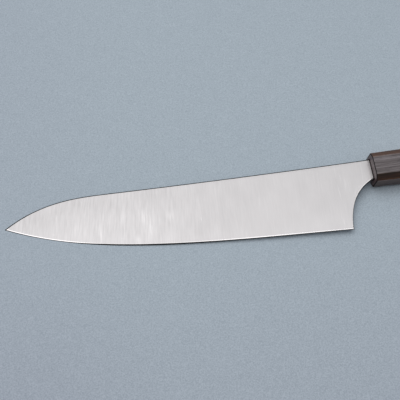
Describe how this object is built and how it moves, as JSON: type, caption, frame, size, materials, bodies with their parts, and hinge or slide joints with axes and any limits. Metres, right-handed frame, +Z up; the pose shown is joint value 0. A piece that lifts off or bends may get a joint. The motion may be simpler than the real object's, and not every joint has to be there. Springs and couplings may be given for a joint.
{
  "type": "chef knife",
  "caption": "Long satin-steel chef knife with a curved belly, rounded choil and tapered eight-sided dark wooden handle, lying on its side.",
  "frame": {"origin": "middle of the knife's bounding box in plan, on the plane its lower side lies on", "axes": "+X from the blade's point to the handle's butt, +Y from the cutting edge to the spine, +Z up through the blade's flat side"},
  "size_m": [0.4028, 0.0548, 0.0216],
  "materials": {
    "blade_steel": "satin, ground across the blade, with a bright cutting bevel",
    "ferrule_wood": "dark, fine grain, oiled and polished",
    "handle_wood": "dark, fine grain, oiled and polished",
    "dowel_wood": "pale, unfinished, hidden",
    "bedding_glue": "cured epoxy, hidden",
    "seal": "dark cured sealer"
  },
  "bodies": {
    "root": {"blade": "blade_steel", "ferrule": "ferrule_wood", "handle_body": "handle_wood", "core_dowel": "dowel_wood", "tang_bedding": "bedding_glue", "mouth_seal": "seal"}
  },
  "joints": []
}
